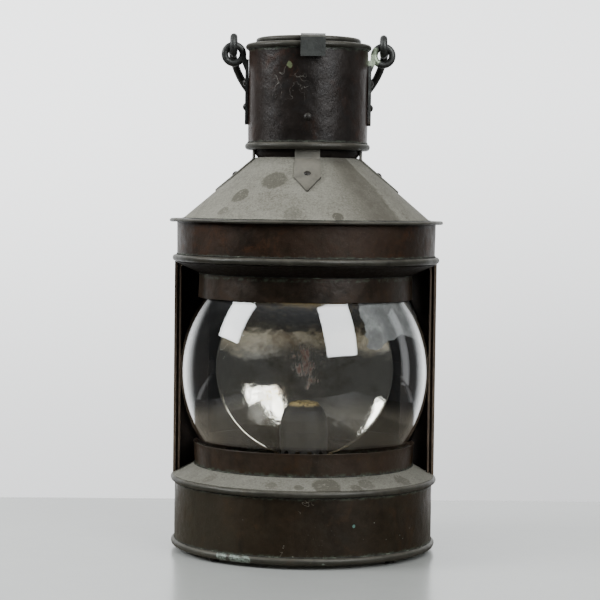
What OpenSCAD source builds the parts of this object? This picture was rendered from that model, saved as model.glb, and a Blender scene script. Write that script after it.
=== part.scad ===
// Copper masthead lantern: base drum, barrel glass front, sheet metal rear with door,
// conical roof, ventilated cowl with hinged lid, wire bail, oil lamp and reflector.
// Millimetres, +Z up, origin on the ground at the centre of the base, front toward -Y.

/* [Base drum] */
// Outer radius of the base band
base_r = 128.3; // [110:0.1:145]
// Wire diameter of the rolled bottom edge
base_bead_d = 7; // [4:0.1:10]
// Height of the centre of the bottom bead
base_bead_z = 7.5; // [5:0.1:12]
// Height of the centre of the shoulder bead
shoulder_bead_z = 71; // [55:0.1:90]
// Outer radius of the shoulder bead
shoulder_bead_r = 132.3; // [120:0.1:140]
// Wire diameter of the shoulder and band beads
ring_bead_d = 6.5; // [4:0.1:10]
// Height of the underside of the bottom plate
plate_z = 11; // [8:0.1:20]
// Number of air holes in the bottom plate
air_holes = 12; // [6:1:20]
// Radius on which the stub feet stand
foot_ring_r = 119; // [90:0.1:122]

/* [Shoulder and collars] */
// Outer radius of the lower collar at its foot
lower_collar_r0 = 108.5; // [95:0.1:115]
// Outer radius of the lower collar at its lip
lower_collar_r1 = 110; // [95:0.1:116]
// Height of the lip of the lower collar
lower_collar_z = 107; // [98:0.1:115]
// Outer radius of the upper collar at its lip
upper_collar_r0 = 106.6; // [95:0.1:112]
// Outer radius of the upper collar at its top
upper_collar_r1 = 105.7; // [95:0.1:112]
// Height of the lip of the upper collar
upper_collar_z = 250; // [240:0.1:260]
// Height at which the soffit starts
soffit_z = 274; // [268:0.1:280]

/* [Glass] */
// Largest radius of the barrel glass
glass_max_r = 123.3; // [112:0.1:123.4]
// Radius of the straight necks of the glass
glass_neck_r = 104; // [95:0.1:104.2]
// Wall thickness of the glass
glass_t = 4; // [2.5:0.1:6]
// Angle of the glass either side of the front
glass_half_a = 100; // [90:1:110]

/* [Roof] */
// Height of the centre of the band bead
band_bead_z = 289; // [286:0.1:294]
// Outer radius of the brim
brim_r = 136; // [130:0.1:145]
// Height of the top face of the brim
brim_z = 328; // [315:0.1:340]
// Thickness of the brim
brim_t = 3.5; // [2:0.1:5]
// Outer radius of the roof cone at its foot
roof_r0 = 122.8; // [115:0.1:127]
// Outer radius of the roof cone at its top
roof_r1 = 51; // [45:0.1:60]
// Height of the top of the roof cone
roof_z = 389; // [375:0.1:395]
// Outer radius of the neck tube
neck_r = 49.4; // [40:0.1:49.4]

/* [Cowl and lid] */
// Outer radius of the cowl
cowl_r = 59.2; // [55:0.1:62]
// Height of the lower cowl bead
cowl_z0 = 400; // [397:0.1:405]
// Height of the upper cowl bead
cowl_z1 = 498; // [480:0.1:505]
// Width of the cowl straps
strap_w = 24.5; // [18:0.1:28]
// Reach of the strap tips from the axis
strap_tip_r = 91; // [80:0.1:100]
// Outer radius of the lid
lid_r = 52; // [49:0.1:53]
// Height of the lid at its crown
lid_top_z = 509; // [508:0.1:511]
// Width of the lid catch strap
catch_w = 24; // [16:0.1:30]
// Offset of the lid catch strap from the centre
catch_x = 4; // [-8:0.1:8]

/* [Bail and eyes] */
// Distance of the eyes from the axis
eye_x = 74; // [72:0.1:78]
// Height of the centre of the eyes
eye_z = 491; // [488:0.1:494]
// Wire diameter of the eyes
eye_d = 7; // [5:0.1:7.4]
// Radius of the wire circle of the eyes
eye_rc = 8.9; // [8.5:0.1:10]
// Wire diameter of the bail
bail_d = 7.5; // [6:0.1:8]
// Half width of the bail arch
bail_w = 76; // [75:0.1:80]
// Height of the bail arch
bail_h = 96; // [94:0.1:110]
// Lean of the resting bail from the vertical, backward
bail_lean = 43.2; // [43:0.1:90]

/* [Rear body] */
// Outer radius of the rear shell
shell_r = 128.2; // [126:0.1:128.2]
// Half angle of the door opening
door_half_a = 44; // [35:1:45]
// Lower edge of the door opening
door_z0 = 92; // [88:1:100]
// Upper edge of the door opening
door_z1 = 268; // [255:1:270]

/* [Lamp] */
// Outer radius of the oil font
font_r = 70; // [55:1:80]
// Radius of the reflector rim
mirror_r = 89; // [80:0.5:92]
// Depth of the reflector dish
mirror_depth = 32; // [20:1:40]
// Height of the reflector centre
mirror_z = 177; // [170:1:180]
// Distance of the reflector rim behind the axis
mirror_y = 30; // [26:1:34]
// Width of the flat wick
wick_w = 25; // [15:1:25]

/* [Hidden] */
$fn = 96;
sheet = 1;                                     // sheet metal gauge
fit = 0.05;                                    // radial running clearance of pins
deck_r = 130.6;
deck_z0 = shoulder_bead_z + 3.7;
deck_z1 = 85;
shoulder_rc = shoulder_bead_r - ring_bead_d / 2;
band_rc = 132.6 - ring_bead_d / 2;
base_rc = base_r - sheet / 2 + 0.1;
soffit_r1 = 129.6;
soffit_z1 = 284.9;
glass_zc = 177.5;
glass_half_h = 74.7;
glass_z0 = 84.8;
glass_z1 = 274.7;
sag = glass_max_r - glass_neck_r;
glass_arc = (glass_half_h * glass_half_h + sag * sag) / (2 * sag);
roof_slope = (roof_z - brim_z) / (roof_r0 - roof_r1);
strap_t = 1.4;
strap_r = 53.2;                                // inner radius of the straps in the vent gap
strap_top_z = 447;
rivet_z = 427.5;                                // front and rear cowl rivets
plate_x = 59.35;                               // inner face of the eye plates
plate_t = 3;
eye_rivets_z = [439, 463];
bail_z = eye_z + eye_rc;                       // pivot line of the bail
bail_r2 = 65;                                  // crown radius of the bail
bail_r1 = (bail_w * bail_w + pow(bail_h - bail_r2, 2) - bail_r2 * bail_r2) / (2 * (bail_w - bail_r2));
bail_a = atan2(bail_h - bail_r2, bail_r1 - bail_w);
loop_x = eye_x + 0.2;
loop_rc = 8.1;
loop_d = 7.2;
lid_hinge_y = 57;
lid_hinge_z = 505.2;
lid_pin_r = 1.3;
post_x0 = 123.8;                               // inner lip, slot and outer flange of the posts
post_x1 = 125.2;
post_x2 = 127.8;
post_x3 = 130.2;
post_y0 = -5;
post_y1 = 6;
door_r = 129.6;
door_lap_a = 2.5;
door_lap_z = 5;
hinge_a = 50.2;                                // door hinge line, degrees from the rear centre
hinge_r = 131.9;
hinge_pin_r = 1.2;
hinge_z = [125, 235];
latch_a = 50.6;
latch_z = 180;
mirror_R = (mirror_r * mirror_r + mirror_depth * mirror_depth) / (2 * mirror_depth);
font_z0 = plate_z + sheet;
font_z1 = 68;
burner_z = 80;
shaft_y = 5.9;
shaft_z = 85.5;
cap_at = [-45, 22];

// ---- helpers ----

// a bent strip: the path, and the path shifted to its left by t with mitred corners
function unit2(v) = v / norm(v);
function left2(v) = [-v[1], v[0]];
function mitre(p, i) =
    let (n = len(p),
         a = i == 0 ? left2(unit2(p[1] - p[0])) : left2(unit2(p[i] - p[i - 1])),
         b = i == n - 1 ? a : left2(unit2(p[i + 1] - p[i])))
    (a + b) / (1 + a * b);
function strip(p, t) =
    concat(p, [for (i = [len(p) - 1:-1:0]) p[i] + t * mitre(p, i)]);

module tube(r, t, z0, z1) {
    translate([0, 0, z0])
        difference() {
            cylinder(r = r, h = z1 - z0);
            translate([0, 0, -1]) cylinder(r = r - t, h = z1 - z0 + 2);
        }
}
module turned(points, a = 360) { rotate_extrude(angle = a) polygon(points); }
// a rolled edge on a sheet: full wire ring with a seat for the sheet
module rolled_edge(rc, z, d, r, z0, z1) {
    rotate_extrude()
        difference() {
            translate([rc, z]) circle(d = d);
            translate([r - sheet, z0]) square([sheet, z1 - z0]);
        }
}
// a domed rivet on +X, with its head foot at x, through to x - grip
module rivet(x, grip, r = 4, h = 2.2, shank = 1.8) {
    R = (r * r + h * h) / (2 * h);
    rotate([0, 90, 0]) {
        translate([0, 0, x - grip]) cylinder(r = shank, h = grip + 0.2);
        translate([0, 0, x])
            intersection() {
                translate([0, 0, h - R]) sphere(r = R);
                cylinder(r = r + 1, h = h + 1);
            }
        translate([0, 0, x - grip - 0.8]) cylinder(r = shank + 1, h = 0.8);
    }
}
module bore_x(x0, x1, r = 1.82) { translate([x0, 0, 0]) rotate([0, 90, 0]) cylinder(r = r, h = x1 - x0); }
function deck_h(r) = deck_z0 + (deck_z1 - deck_z0) * pow((deck_r - r) / (deck_r - lower_collar_r0), 1.2);
function deck_line(dz, n = 5) =
    [for (i = [0:n]) let (r = deck_r - (deck_r - lower_collar_r0 - 0.1) * i / n) [r, deck_h(r) + dz]];
function deck_back(dz, n = 5) = [for (p = [n:-1:0]) deck_line(dz, n)[p]];
module below_deck() {
    turned(concat([[95, 60], [135, 60], [135, deck_h(deck_r)]], deck_line(0), [[95, deck_z1 + 0.1]]));
}
function soffit_h(r) = soffit_z + (soffit_z1 - soffit_z) * (r - upper_collar_r1) / (soffit_r1 - upper_collar_r1);
module above_soffit() {
    turned([[95, soffit_h(95)], [135, soffit_h(135)], [135, 310], [95, 310]]);
}
module collar_rings() {
    turned([[90, 60], [lower_collar_r0 + 0.05, 60], [lower_collar_r0 + 0.05, 84],
        [lower_collar_r1 + 0.05, lower_collar_z], [90, lower_collar_z]]);
    turned([[90, upper_collar_z], [upper_collar_r0 + 0.05, upper_collar_z],
        [upper_collar_r1 + 0.05, soffit_z], [upper_collar_r1 + 0.05, 300], [90, 300]]);
}

// ---- base drum ----

module bottom_plate() {
    color("#4a3527")
    difference() {
        turned([[0, plate_z], [base_r - sheet - 0.05, plate_z], [base_r - sheet - 0.05, plate_z + 11],
            [base_r - 2 * sheet - 0.05, plate_z + 11], [base_r - 2 * sheet - 0.05, plate_z + sheet],
            [0, plate_z + sheet]]);
        for (i = [0:air_holes - 1])
            rotate((i + 0.5) * 360 / air_holes) translate([98, 0, plate_z - 1]) cylinder(d = 9, h = 4);
        for (a = [45:90:315]) rotate(a) translate([foot_ring_r, 0, plate_z - 1]) cylinder(r = 2.52, h = 4);
    }
}
module feet() {
    color("#3a2c22")
    for (a = [45:90:315])
        rotate(a) translate([foot_ring_r, 0, 0]) {
            cylinder(r1 = 4.6, r2 = 5, h = plate_z);
            cylinder(r = 2.5, h = plate_z + sheet + 0.2);
            translate([0, 0, plate_z + sheet]) cylinder(r1 = 4, r2 = 3, h = 1.4);
        }
}
module base_band() {
    color("#4a3527") tube(base_r, sheet, base_bead_z, shoulder_bead_z);
}
module base_bead() {
    color("#4a3a2c")
        rolled_edge(base_rc, base_bead_z, base_bead_d, base_r, base_bead_z, base_bead_z + 10);
}
module shoulder_bead() {
    color("#4a3a2c")
        rolled_edge(shoulder_rc, shoulder_bead_z, ring_bead_d, base_r, shoulder_bead_z - 10, shoulder_bead_z);
}
module shoulder_deck() {
    color("#77705f")
    difference() {
        turned(concat(deck_line(0), deck_back(-sheet)));
        rotate_extrude() translate([shoulder_rc, shoulder_bead_z]) circle(d = ring_bead_d);
    }
}

// ---- collars, glass and its holders ----

module lower_collar() {
    r0 = lower_collar_r0;
    r1 = lower_collar_r1;
    color("#4f3626")
        // the foot is turned in under the glass as its seat
        turned([[99, 83.6], [r0, 83.6], [r0, 85], [r1 - 0.2, lower_collar_z - 1.2], [r1, lower_collar_z],
            [r1 - sheet, lower_collar_z], [r0 - sheet, 85], [r0 - sheet, 84.6], [99, 84.6]]);
}
module glass_gaskets() {
    color("#3b382f")
        rotate(-90 - glass_half_a) {
            turned([[glass_neck_r + 0.05, 85], [lower_collar_r0 - sheet - 0.1, 85],
                [lower_collar_r0 - sheet + 0.7, 102], [glass_neck_r + 0.05, 102]], 2 * glass_half_a);
            turned([[glass_neck_r + 0.05, 254], [upper_collar_r1 - sheet - 0.05, 254],
                [upper_collar_r1 - sheet - 0.05, 274], [glass_neck_r + 0.05, 274]], 2 * glass_half_a);
        }
}
// section of the barrel: annulus of wall t outside or inside the outer arc, cut to z0..z1
module barrel_arc(out, t, lo, hi) {
    intersection() {
        difference() {
            translate([glass_max_r - glass_arc, glass_zc]) circle(r = glass_arc + out, $fn = 400);
            translate([glass_max_r - glass_arc, glass_zc]) circle(r = glass_arc + out - t, $fn = 400);
        }
        translate([80, lo]) square([60, hi - lo]);
    }
}
module barrel_glass() {
    color("#cfd8d6", 0.35)
    rotate(-90 - glass_half_a)
        rotate_extrude(angle = 2 * glass_half_a) {
            barrel_arc(0, glass_t, glass_zc - glass_half_h, glass_zc + glass_half_h);
            translate([glass_neck_r - glass_t, glass_z0])
                square([glass_t, glass_zc - glass_half_h - glass_z0 + 0.6]);
            translate([glass_neck_r - glass_t, glass_zc + glass_half_h - 0.6])
                square([glass_t, glass_z1 - glass_zc - glass_half_h + 0.6]);
        }
}
// a plate from the end of the glass to the rear shell, with two lips that hold the glass edge
module glass_end(side) {
    color("#3b2a20")
    scale([side, 1, 1])
    difference() {
        union() {
            rotate(glass_half_a - 90) translate([99, 0.1, 70]) cube([shell_r - sheet - 99 - 0.3, 1.2, 225]);
            rotate(glass_half_a - 93) rotate_extrude(angle = 3.2)
                barrel_arc(-glass_t - 0.3, 1, lower_collar_z, upper_collar_z);
            rotate(glass_half_a - 93) rotate_extrude(angle = 3.2)
                barrel_arc(1.2, 0.9, lower_collar_z, upper_collar_z);
        }
        collar_rings();
        below_deck();
        above_soffit();
    }
}
module glass_end_left() { glass_end(-1); }
module glass_end_right() { glass_end(1); }
module upper_collar() {
    r0 = upper_collar_r0;
    r1 = upper_collar_r1;
    color("#4f3626")
        // the top is turned in over the glass
        turned([[r0 - sheet, upper_collar_z], [r0, upper_collar_z], [r1, soffit_z], [r1, soffit_z + 2],
            [99, soffit_z + 2], [99, soffit_z + 1], [r1 - sheet, soffit_z + 1], [r1 - sheet, soffit_z]]);
}
module soffit() {
    color("#3b2a20")
    difference() {
        turned([[upper_collar_r1 + 0.05, soffit_h(upper_collar_r1 + 0.05)], [soffit_r1, soffit_z1],
            [soffit_r1, soffit_z1 + sheet], [upper_collar_r1 + 0.05, soffit_h(upper_collar_r1 + 0.05) + sheet]]);
        rotate_extrude() translate([band_rc, band_bead_z]) circle(d = ring_bead_d);
    }
}

// ---- roof ----

module band_bead() {
    color("#4a3a2c")
        rolled_edge(band_rc, band_bead_z, ring_bead_d, base_r, band_bead_z, band_bead_z + 10);
}
module upper_band() {
    r = base_r;
    color("#553524")
        turned([[r - sheet, band_bead_z], [r, band_bead_z], [r, band_bead_z + 5], [r + 0.4, brim_z - brim_t],
            [r + 0.4 - sheet, brim_z - brim_t], [r - sheet, band_bead_z + 5]]);
}
module brim() {
    color("#3f3026")
    rotate_extrude() {
        translate([roof_r0 - 2.4, brim_z - brim_t]) square([brim_r - brim_t / 2 - roof_r0 + 2.4, brim_t]);
        translate([brim_r - brim_t / 2, brim_z - brim_t / 2]) circle(d = brim_t);
    }
}
module roof_cone() {
    w = 1.55;
    color("#7c7668")
    difference() {
        turned([[roof_r0 - w, brim_z], [roof_r0, brim_z], [roof_r1, roof_z], [roof_r1 - w, roof_z]]);
        cone_rivets_at() bore_x(40, 60);
    }
}
module neck_tube() {
    color("#241c16") tube(neck_r, sheet, 383, 425);
}
module smoke_baffle() {
    cone = [[0, 452], [43.5, 441], [43.5, 439.8], [0, 450.8]];
    color("#241c16") {
        turned(cone);
        intersection() {
            turned([[neck_r + 0.05, 412], [neck_r + 1.25, 412], [neck_r + 1.25, 436.7],
                [43, 441.4], [43, 440], [neck_r + 0.05, 436]]);
            for (a = [60:120:300]) rotate(a) translate([30, -5, 400]) cube([30, 10, 60]);
        }
    }
}

// ---- cowl straps ----

function roof_h(r) = roof_z - roof_slope * (r - roof_r1);
// section of a strap: inside the cowl, past the lower bead, down to the roof and along it
strap_path = [[strap_tip_r + 3, roof_h(strap_tip_r + 3) + 0.05], [strap_r + 0.6, roof_h(strap_r + 0.6) + 0.05],
    [strap_r, roof_h(strap_r) + 1.6], [strap_r, 404.6], [cowl_r - sheet - strap_t - 0.05, 412],
    [cowl_r - sheet - strap_t - 0.05, strap_top_z]];
module cone_rivets_at() {
    a = atan(roof_slope);
    r = 71;
    for (k = [0:90:270])
        rotate(k) translate([r, 0, roof_h(r)]) rotate([0, a - 90, 0]) translate([-50, 0, 0]) children();
}
module strap(k) {
    color("#5a4a3a")
    rotate(k)
    difference() {
        intersection() {
            turned(strip(strap_path, -strap_t));
            translate([0, 0, 330])
                linear_extrude(height = 130)
                    polygon([[40, -strap_w / 2], [56, -strap_w / 2], [74.4, -strap_w / 2 - 1], [strap_tip_r, -0.8],
                        [strap_tip_r, 0.8], [74.4, strap_w / 2 + 1], [56, strap_w / 2], [40, strap_w / 2]]);
        }
        translate([0, 0, k % 180 == 90 ? rivet_z : eye_rivets_z[0]]) bore_x(40, 70);
        rotate(-k) cone_rivets_at() bore_x(40, 60);
    }
}
module strap_front() { strap(270); }
module strap_rear() { strap(90); }
module strap_left() { strap(180); }
module strap_right() { strap(0); }
module strap_rivets() {
    color("#4a3a2c")
        cone_rivets_at() rivet(50 + strap_t + 0.1, strap_t + 1.15, 3.4, 1.6, 1.8);
}

// ---- cowl ----

module cowl_rivets_at() {
    for (k = [90, 270]) rotate(k) translate([0, 0, rivet_z]) children();
}
module eye_rivets_at(low = true) {
    for (k = [0, 180], z = eye_rivets_z) if (low || z > 450) rotate(k) translate([0, 0, z]) children();
}
module leaf_rivets_at() {
    for (x = [-7, 7]) translate([x, 0, 488.5]) rotate(90) children();
}
module cowl_tube() {
    color("#46332a")
    difference() {
        tube(cowl_r, sheet, cowl_z0, cowl_z1);
        cowl_rivets_at() bore_x(40, 80);
        eye_rivets_at() bore_x(40, 80);
        leaf_rivets_at() bore_x(40, 80);
    }
}
module cowl_lower_bead() {
    color("#3d3229") rolled_edge(58.6, cowl_z0, 7, cowl_r, cowl_z0, cowl_z0 + 10);
}
module cowl_upper_bead() {
    color("#3d3229") rolled_edge(59.3, cowl_z1, 6, cowl_r, cowl_z1 - 10, cowl_z1);
}
module cowl_top() {
    color("#3d3229")
    difference() {
        tube(59.1, 59.1 - 47.4, 499.4, 500.4);
        rotate_extrude() translate([59.3, cowl_z1]) circle(d = 6);
    }
}
module cowl_rivets() {
    g = sheet + strap_t + 0.2;
    color("#3d3229") cowl_rivets_at() rivet(cowl_r + 0.02, g);
}
module eye_rivets() {
    color("#3d3229") {
        for (k = [0, 180]) rotate(k) {
            translate([0, 0, eye_rivets_z[0]]) rivet(plate_x + plate_t, plate_t + sheet + strap_t + 0.35, 3.8, 2.4);
            translate([0, 0, eye_rivets_z[1]]) rivet(plate_x + plate_t, plate_t + sheet + 0.3, 3.8, 2.4);
        }
    }
}

// ---- eyes and bail ----

module eye(side) {
    color("#35302b")
    scale([side, 1, 1])
    difference() {
        union() {
            // riveted foot plate, narrowing to the forged eye
            translate([plate_x, 0, 0]) rotate([90, 0, 90])
                linear_extrude(height = plate_t)
                    polygon([[-7, 421.5], [7, 421.5], [9, 423.5], [9, 470], [3.5, 486], [-3.5, 486], [-9, 470],
                        [-9, 423.5]]);
            rotate([90, 0, 0]) translate([0, 0, -3.4])
                linear_extrude(height = 6.8)
                    polygon([[plate_x, 474], [plate_x + plate_t, 474], [66.5, 484], [66, 488], [64.4, 492],
                        [62.2, 492], [61.2, 486], [plate_x, 484]]);
            translate([eye_x, 0, eye_z]) rotate([90, 0, 0]) rotate_extrude()
                translate([eye_rc, 0]) circle(d = eye_d);
        }
        for (z = eye_rivets_z) translate([0, 0, z]) bore_x(50, 80);
    }
}
module eye_left() { eye(-1); }
module eye_right() { eye(1); }
module bail_wire(a0, a1, r) {
    rotate(a0) rotate_extrude(angle = a1 - a0) translate([r, 0]) circle(d = bail_d);
}
module bail() {
    s0 = asin(8.2 / bail_r1);
    swell = bail_d + 0.3;                      // the forged welds stand a little proud
    color("#33302c")
    translate([0, 0, bail_z]) rotate([bail_lean - 90, 0, 0]) {
        for (m = [1, -1]) scale([m, 1, 1]) {
            translate([bail_w - bail_r1, 0, 0]) {
                bail_wire(s0, bail_a - 0.15, bail_r1);
                for (a = [s0, bail_a]) rotate(a) translate([bail_r1, 0, 0]) sphere(d = swell);
            }
            translate([loop_x, 0, 0]) rotate([0, 90, 0]) rotate_extrude() translate([loop_rc, 0]) circle(d = loop_d);
        }
        translate([0, bail_h - bail_r2, 0]) bail_wire(bail_a + 0.25, 179.75 - bail_a, bail_r2);
    }
}

// ---- lid ----

lid_rc = lid_r - 3;
lid_z = 504;
crown_R = (47 * 47 + 2.6 * 2.6) / 5.2;
module lid_section() {
    intersection() {
        difference() {
            translate([0, lid_top_z - crown_R]) circle(r = crown_R, $fn = 720);
            translate([0, lid_top_z - crown_R - sheet]) circle(r = crown_R, $fn = 720);
        }
        translate([0, 480]) square([lid_rc - 0.2, 40]);
    }
}
module lid() {
    color("#3a332c")
    rotate_extrude() {
        lid_section();
        // skirt that plugs the top opening
        translate([44, 495.5]) square([sheet, 10.6]);
    }
}
module lid_bead() {
    color("#3a332c")
    rotate_extrude()
        difference() {
            translate([lid_rc, lid_z]) circle(d = 6);
            lid_section();
        }
}
module bent_strap(path, t, w) {
    rotate([90, 0, 90]) translate([0, 0, -w / 2]) linear_extrude(height = w) polygon(strip(path, t));
}
module lid_catch() {
    color("#3b352e")
    translate([catch_x, 0, 0])
        bent_strap([[-42, 507.15], [-51, 507.1], [-64, 504.2], [-64.6, 503.4], [-64.6, 485.5]], -1.4, catch_w);
}
module hinge_pin_x(r, x0, x1) {
    translate([x0, lid_hinge_y, lid_hinge_z]) rotate([0, 90, 0]) cylinder(r = r, h = x1 - x0);
}
module lid_leaf() {
    color("#3b352e")
    difference() {
        union() {
            bent_strap([[41.5, 507.15], [56.9, 507.1]], 1.1, 11.4);
            hinge_pin_x(3, -5.7, 5.7);
        }
        hinge_pin_x(lid_pin_r + fit, -20, 20);
    }
}
module cowl_leaf() {
    color("#3b352e")
    difference() {
        union() {
            bent_strap([[57.5, 502.4], [63, 502.3], [64, 501.4], [64, 496], [60, 491.5], [60, 484]], 1.2, 25);
            for (x = [-12.5, 6]) hinge_pin_x(3, x, x + 6.5);
        }
        // the lid knuckle turns between the two fixed ones
        hinge_pin_x(3.5, -6, 6);
        hinge_pin_x(lid_pin_r + 0.02, -20, 20);
        leaf_rivets_at() bore_x(50, 80);
    }
}
module lid_pin() {
    color("#2c2824") {
        hinge_pin_x(lid_pin_r, -12.8, 12.8);
        for (x = [-14, 12.55]) hinge_pin_x(2.1, x, x + 1.45);
    }
}
module leaf_rivets() {
    color("#3d3229") leaf_rivets_at() rivet(61.25, 3.95, 2.6, 1.4, 1.8);
}

// ---- posts, rear shell and door ----

module post(side) {
    color("#3f2e24")
    scale([side, 1, 1])
    difference() {
        translate([0, 0, 70])
            linear_extrude(height = 225)
                polygon([[post_x0, post_y0], [post_x1, post_y0], [post_x1, post_y1 - 1.5], [post_x2, post_y1 - 1.5],
                    [post_x2, post_y0], [post_x3, post_y0], [post_x3, post_y1], [post_x0, post_y1]]);
        below_deck();
        above_soffit();
    }
}
module post_left() { post(-1); }
module post_right() { post(1); }
// a sector of a tube about the rear centre line, from angle a0 to a1
module sector(r0, r1, z0, z1, a0, a1) {
    rotate(90 + a0) rotate_extrude(angle = a1 - a0) translate([r0, z0]) square([r1 - r0, z1 - z0]);
}
module rear_shell() {
    a = 90 - asin((post_y1 + 0.02) / (shell_r - sheet));
    color("#46332a")
    difference() {
        sector(shell_r - sheet, shell_r, 74, 290, -a, a);
        sector(shell_r - 5, shell_r + 5, door_z0, door_z1, -door_half_a, door_half_a);
        below_deck();
        above_soffit();
        rotate(90 + latch_a) translate([0, 0, latch_z]) bore_x(120, 140, 2.02);
    }
}
module rear_door() {
    a = door_half_a + door_lap_a;
    color("#4a3629")
    difference() {
        sector(door_r - sheet, door_r, door_z0 - door_lap_z, door_z1 + door_lap_z, -a, a);
        rotate(90 + 38) translate([0, 0, latch_z]) bore_x(120, 140, 2.02);
    }
}
module at_hinge() { rotate(90 - hinge_a) translate([hinge_r, 0, 0]) children(); }
knuckle_h = 10;
module door_leaves() {
    color("#3f3229")
    for (z = hinge_z)
        difference() {
            union() {
                sector(door_r + 0.02, door_r + 1.2, z - knuckle_h / 2 + 0.2, z + knuckle_h / 2 - 0.2,
                    -hinge_a, -hinge_a + 14);
                translate([0, 0, z - knuckle_h / 2 + 0.2]) at_hinge() cylinder(r = 2.8, h = knuckle_h - 0.4);
            }
            translate([0, 0, z - 20]) at_hinge() cylinder(r = hinge_pin_r + fit, h = 40);
        }
}
module shell_leaves() {
    h = knuckle_h;
    color("#3f3229")
    for (z = hinge_z)
        difference() {
            union() {
                sector(shell_r + 0.02, shell_r + 1.2, z - 1.5 * h, z + 1.5 * h, -hinge_a - 11, -hinge_a + 0.3);
                for (k = [-1.5, 0.5]) translate([0, 0, z + k * h]) at_hinge() cylinder(r = 2.8, h = h);
            }
            // gap for the door knuckle
            translate([0, 0, z - h / 2]) at_hinge() cylinder(r = 4.2, h = h);
            translate([0, 0, z - 20]) at_hinge() cylinder(r = hinge_pin_r + 0.02, h = 40);
        }
}
module door_pins() {
    color("#2c2824")
    for (z = hinge_z)
        at_hinge() {
            translate([0, 0, z - 16]) cylinder(r = hinge_pin_r, h = 32);
            translate([0, 0, z + 15.05]) cylinder(r = 2.2, h = 1.6);
        }
}
module door_pull() {
    color("#3f3229")
    rotate(90 + 38) translate([0, 0, latch_z]) rotate([0, 90, 0]) {
        translate([0, 0, 127.6]) cylinder(r = 2, h = 9);
        translate([0, 0, door_r + 0.02]) cylinder(r = 4, h = 1);
        translate([0, 0, 135]) cylinder(r1 = 3, r2 = 5.5, h = 2);
        translate([0, 0, 137]) cylinder(r = 5.5, h = 2.5);
        translate([0, 0, 139.5]) cylinder(r1 = 5.5, r2 = 4, h = 1.2);
    }
}
module latch_stud() {
    color("#3f3229")
    rotate(90 + latch_a) translate([0, 0, latch_z]) rotate([0, 90, 0]) {
        translate([0, 0, 126.2]) cylinder(r = 2, h = 8);
        translate([0, 0, shell_r + 0.02]) cylinder(r = 4.5, h = 2.3);
        translate([0, 0, 133.1]) cylinder(r1 = 4, r2 = 3, h = 1.6);
        translate([0, 0, 125.8]) cylinder(r = 3.4, h = 1.3);
    }
}
module latch_button() {
    color("#3b352e")
    rotate(90 + latch_a) translate([130.8, 0, latch_z]) rotate([90, 0, 90])
        difference() {
            union() {
                linear_extrude(height = 2)
                    polygon([[-4.5, -7], [4.5, -7], [4.5, 10], [3, 16], [-3, 16], [-4.5, 10]]);
                translate([0, -7, 0]) cylinder(r = 4.5, h = 2);
            }
            translate([0, 0, -1]) cylinder(r = 2 + fit, h = 5);
        }
}

// ---- reflector ----

module mirror_frame() { translate([0, mirror_y, mirror_z]) rotate([-90, 0, 0]) children(); }
module reflector() {
    t = 0.8;
    color("#b9b4aa")
    mirror_frame()
        rotate_extrude() {
            intersection() {
                difference() {
                    translate([0, mirror_depth - mirror_R]) circle(r = mirror_R + t, $fn = 400);
                    translate([0, mirror_depth - mirror_R]) circle(r = mirror_R, $fn = 400);
                }
                square([mirror_r + 0.3, mirror_depth + 2]);
            }
            translate([mirror_r + 0.6, 0]) circle(r = 1.5, $fn = 48);
        }
}
function end_at(r, off) =
    [r * cos(glass_half_a - 90) - off * sin(glass_half_a - 90), r * sin(glass_half_a - 90) + off * cos(glass_half_a - 90)];
module stay(side) {
    color("#4a3a2c")
    scale([side, 1, 1])
        translate([0, 0, mirror_z - 7])
            linear_extrude(height = 14)
                polygon(strip([[79, 39.2], [91.5, 33.4], end_at(112, 4), end_at(119, 1.4), end_at(125.5, 1.4)], 1.2));
}
module stay_left() { stay(-1); }
module stay_right() { stay(1); }

// ---- oil lamp ----

module font_tray() {
    color("#4a3a2c")
        turned([[71, font_z0 + 0.02], [80, font_z0 + 0.02], [80, font_z0 + 1.2], [72, font_z0 + 1.2],
            [72, font_z0 + 14], [71, font_z0 + 14]]);
}
module oil_font() {
    r = font_r;
    color("#6b5232")
    difference() {
        union() {
            turned([[0, font_z0], [r, font_z0], [r, font_z1], [26, 75], [26, 78], [24.6, 78], [24.6, 73.8],
                [r - sheet, font_z1 - 1], [r - sheet, font_z0 + sheet], [0, font_z0 + sheet]]);
            translate([cap_at[0], cap_at[1], 69.5]) cylinder(r = 9, h = 10.5);
        }
        translate([cap_at[0], cap_at[1], 60]) cylinder(r = 8, h = 30);
    }
}
module filler_cap() {
    color("#7a6238")
    translate([cap_at[0], cap_at[1], 0]) {
        translate([0, 0, 74]) difference() {
            cylinder(r = 10.4, h = 9.5);
            translate([0, 0, -1]) cylinder(r = 9.35, h = 7.4);
        }
        translate([-7, -1.2, 83]) cube([14, 2.4, 4.5]);
    }
}
module burner() {
    dome = [[23.4, 116], [22.2, 128], [19, 138], [13.5, 144.6], [8, 146]];
    color("#6b5430")
    difference() {
        union() {
            // screw plug and flange
            turned([[0, 72], [24.5, 72], [24.5, 78.05], [27, 78.05], [27, burner_z], [0, burner_z]]);
            // gallery wall and a raised band
            turned([[23, burner_z - 0.2], [24, burner_z - 0.2], [24, 112], [24.6, 112], [24.6, 117], [23.4, 117.6],
                [23.4, 116], [23, 116]]);
            turned(strip(dome, -1));
        }
        // slot above the wick, passage for the wick tube, shaft hole, draught holes
        translate([-16, -5, 130]) cube([32, 10, 30]);
        translate([-14.05, -2.75, 60]) cube([28.1, 5.5, 25]);
        translate([0, shaft_y, shaft_z]) bore_x(10, 40, 1.57);
        for (i = [0:11]) rotate(i * 30 + 15) translate([15, 0, 96]) bore_x(0, 20, 3);
    }
}
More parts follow.
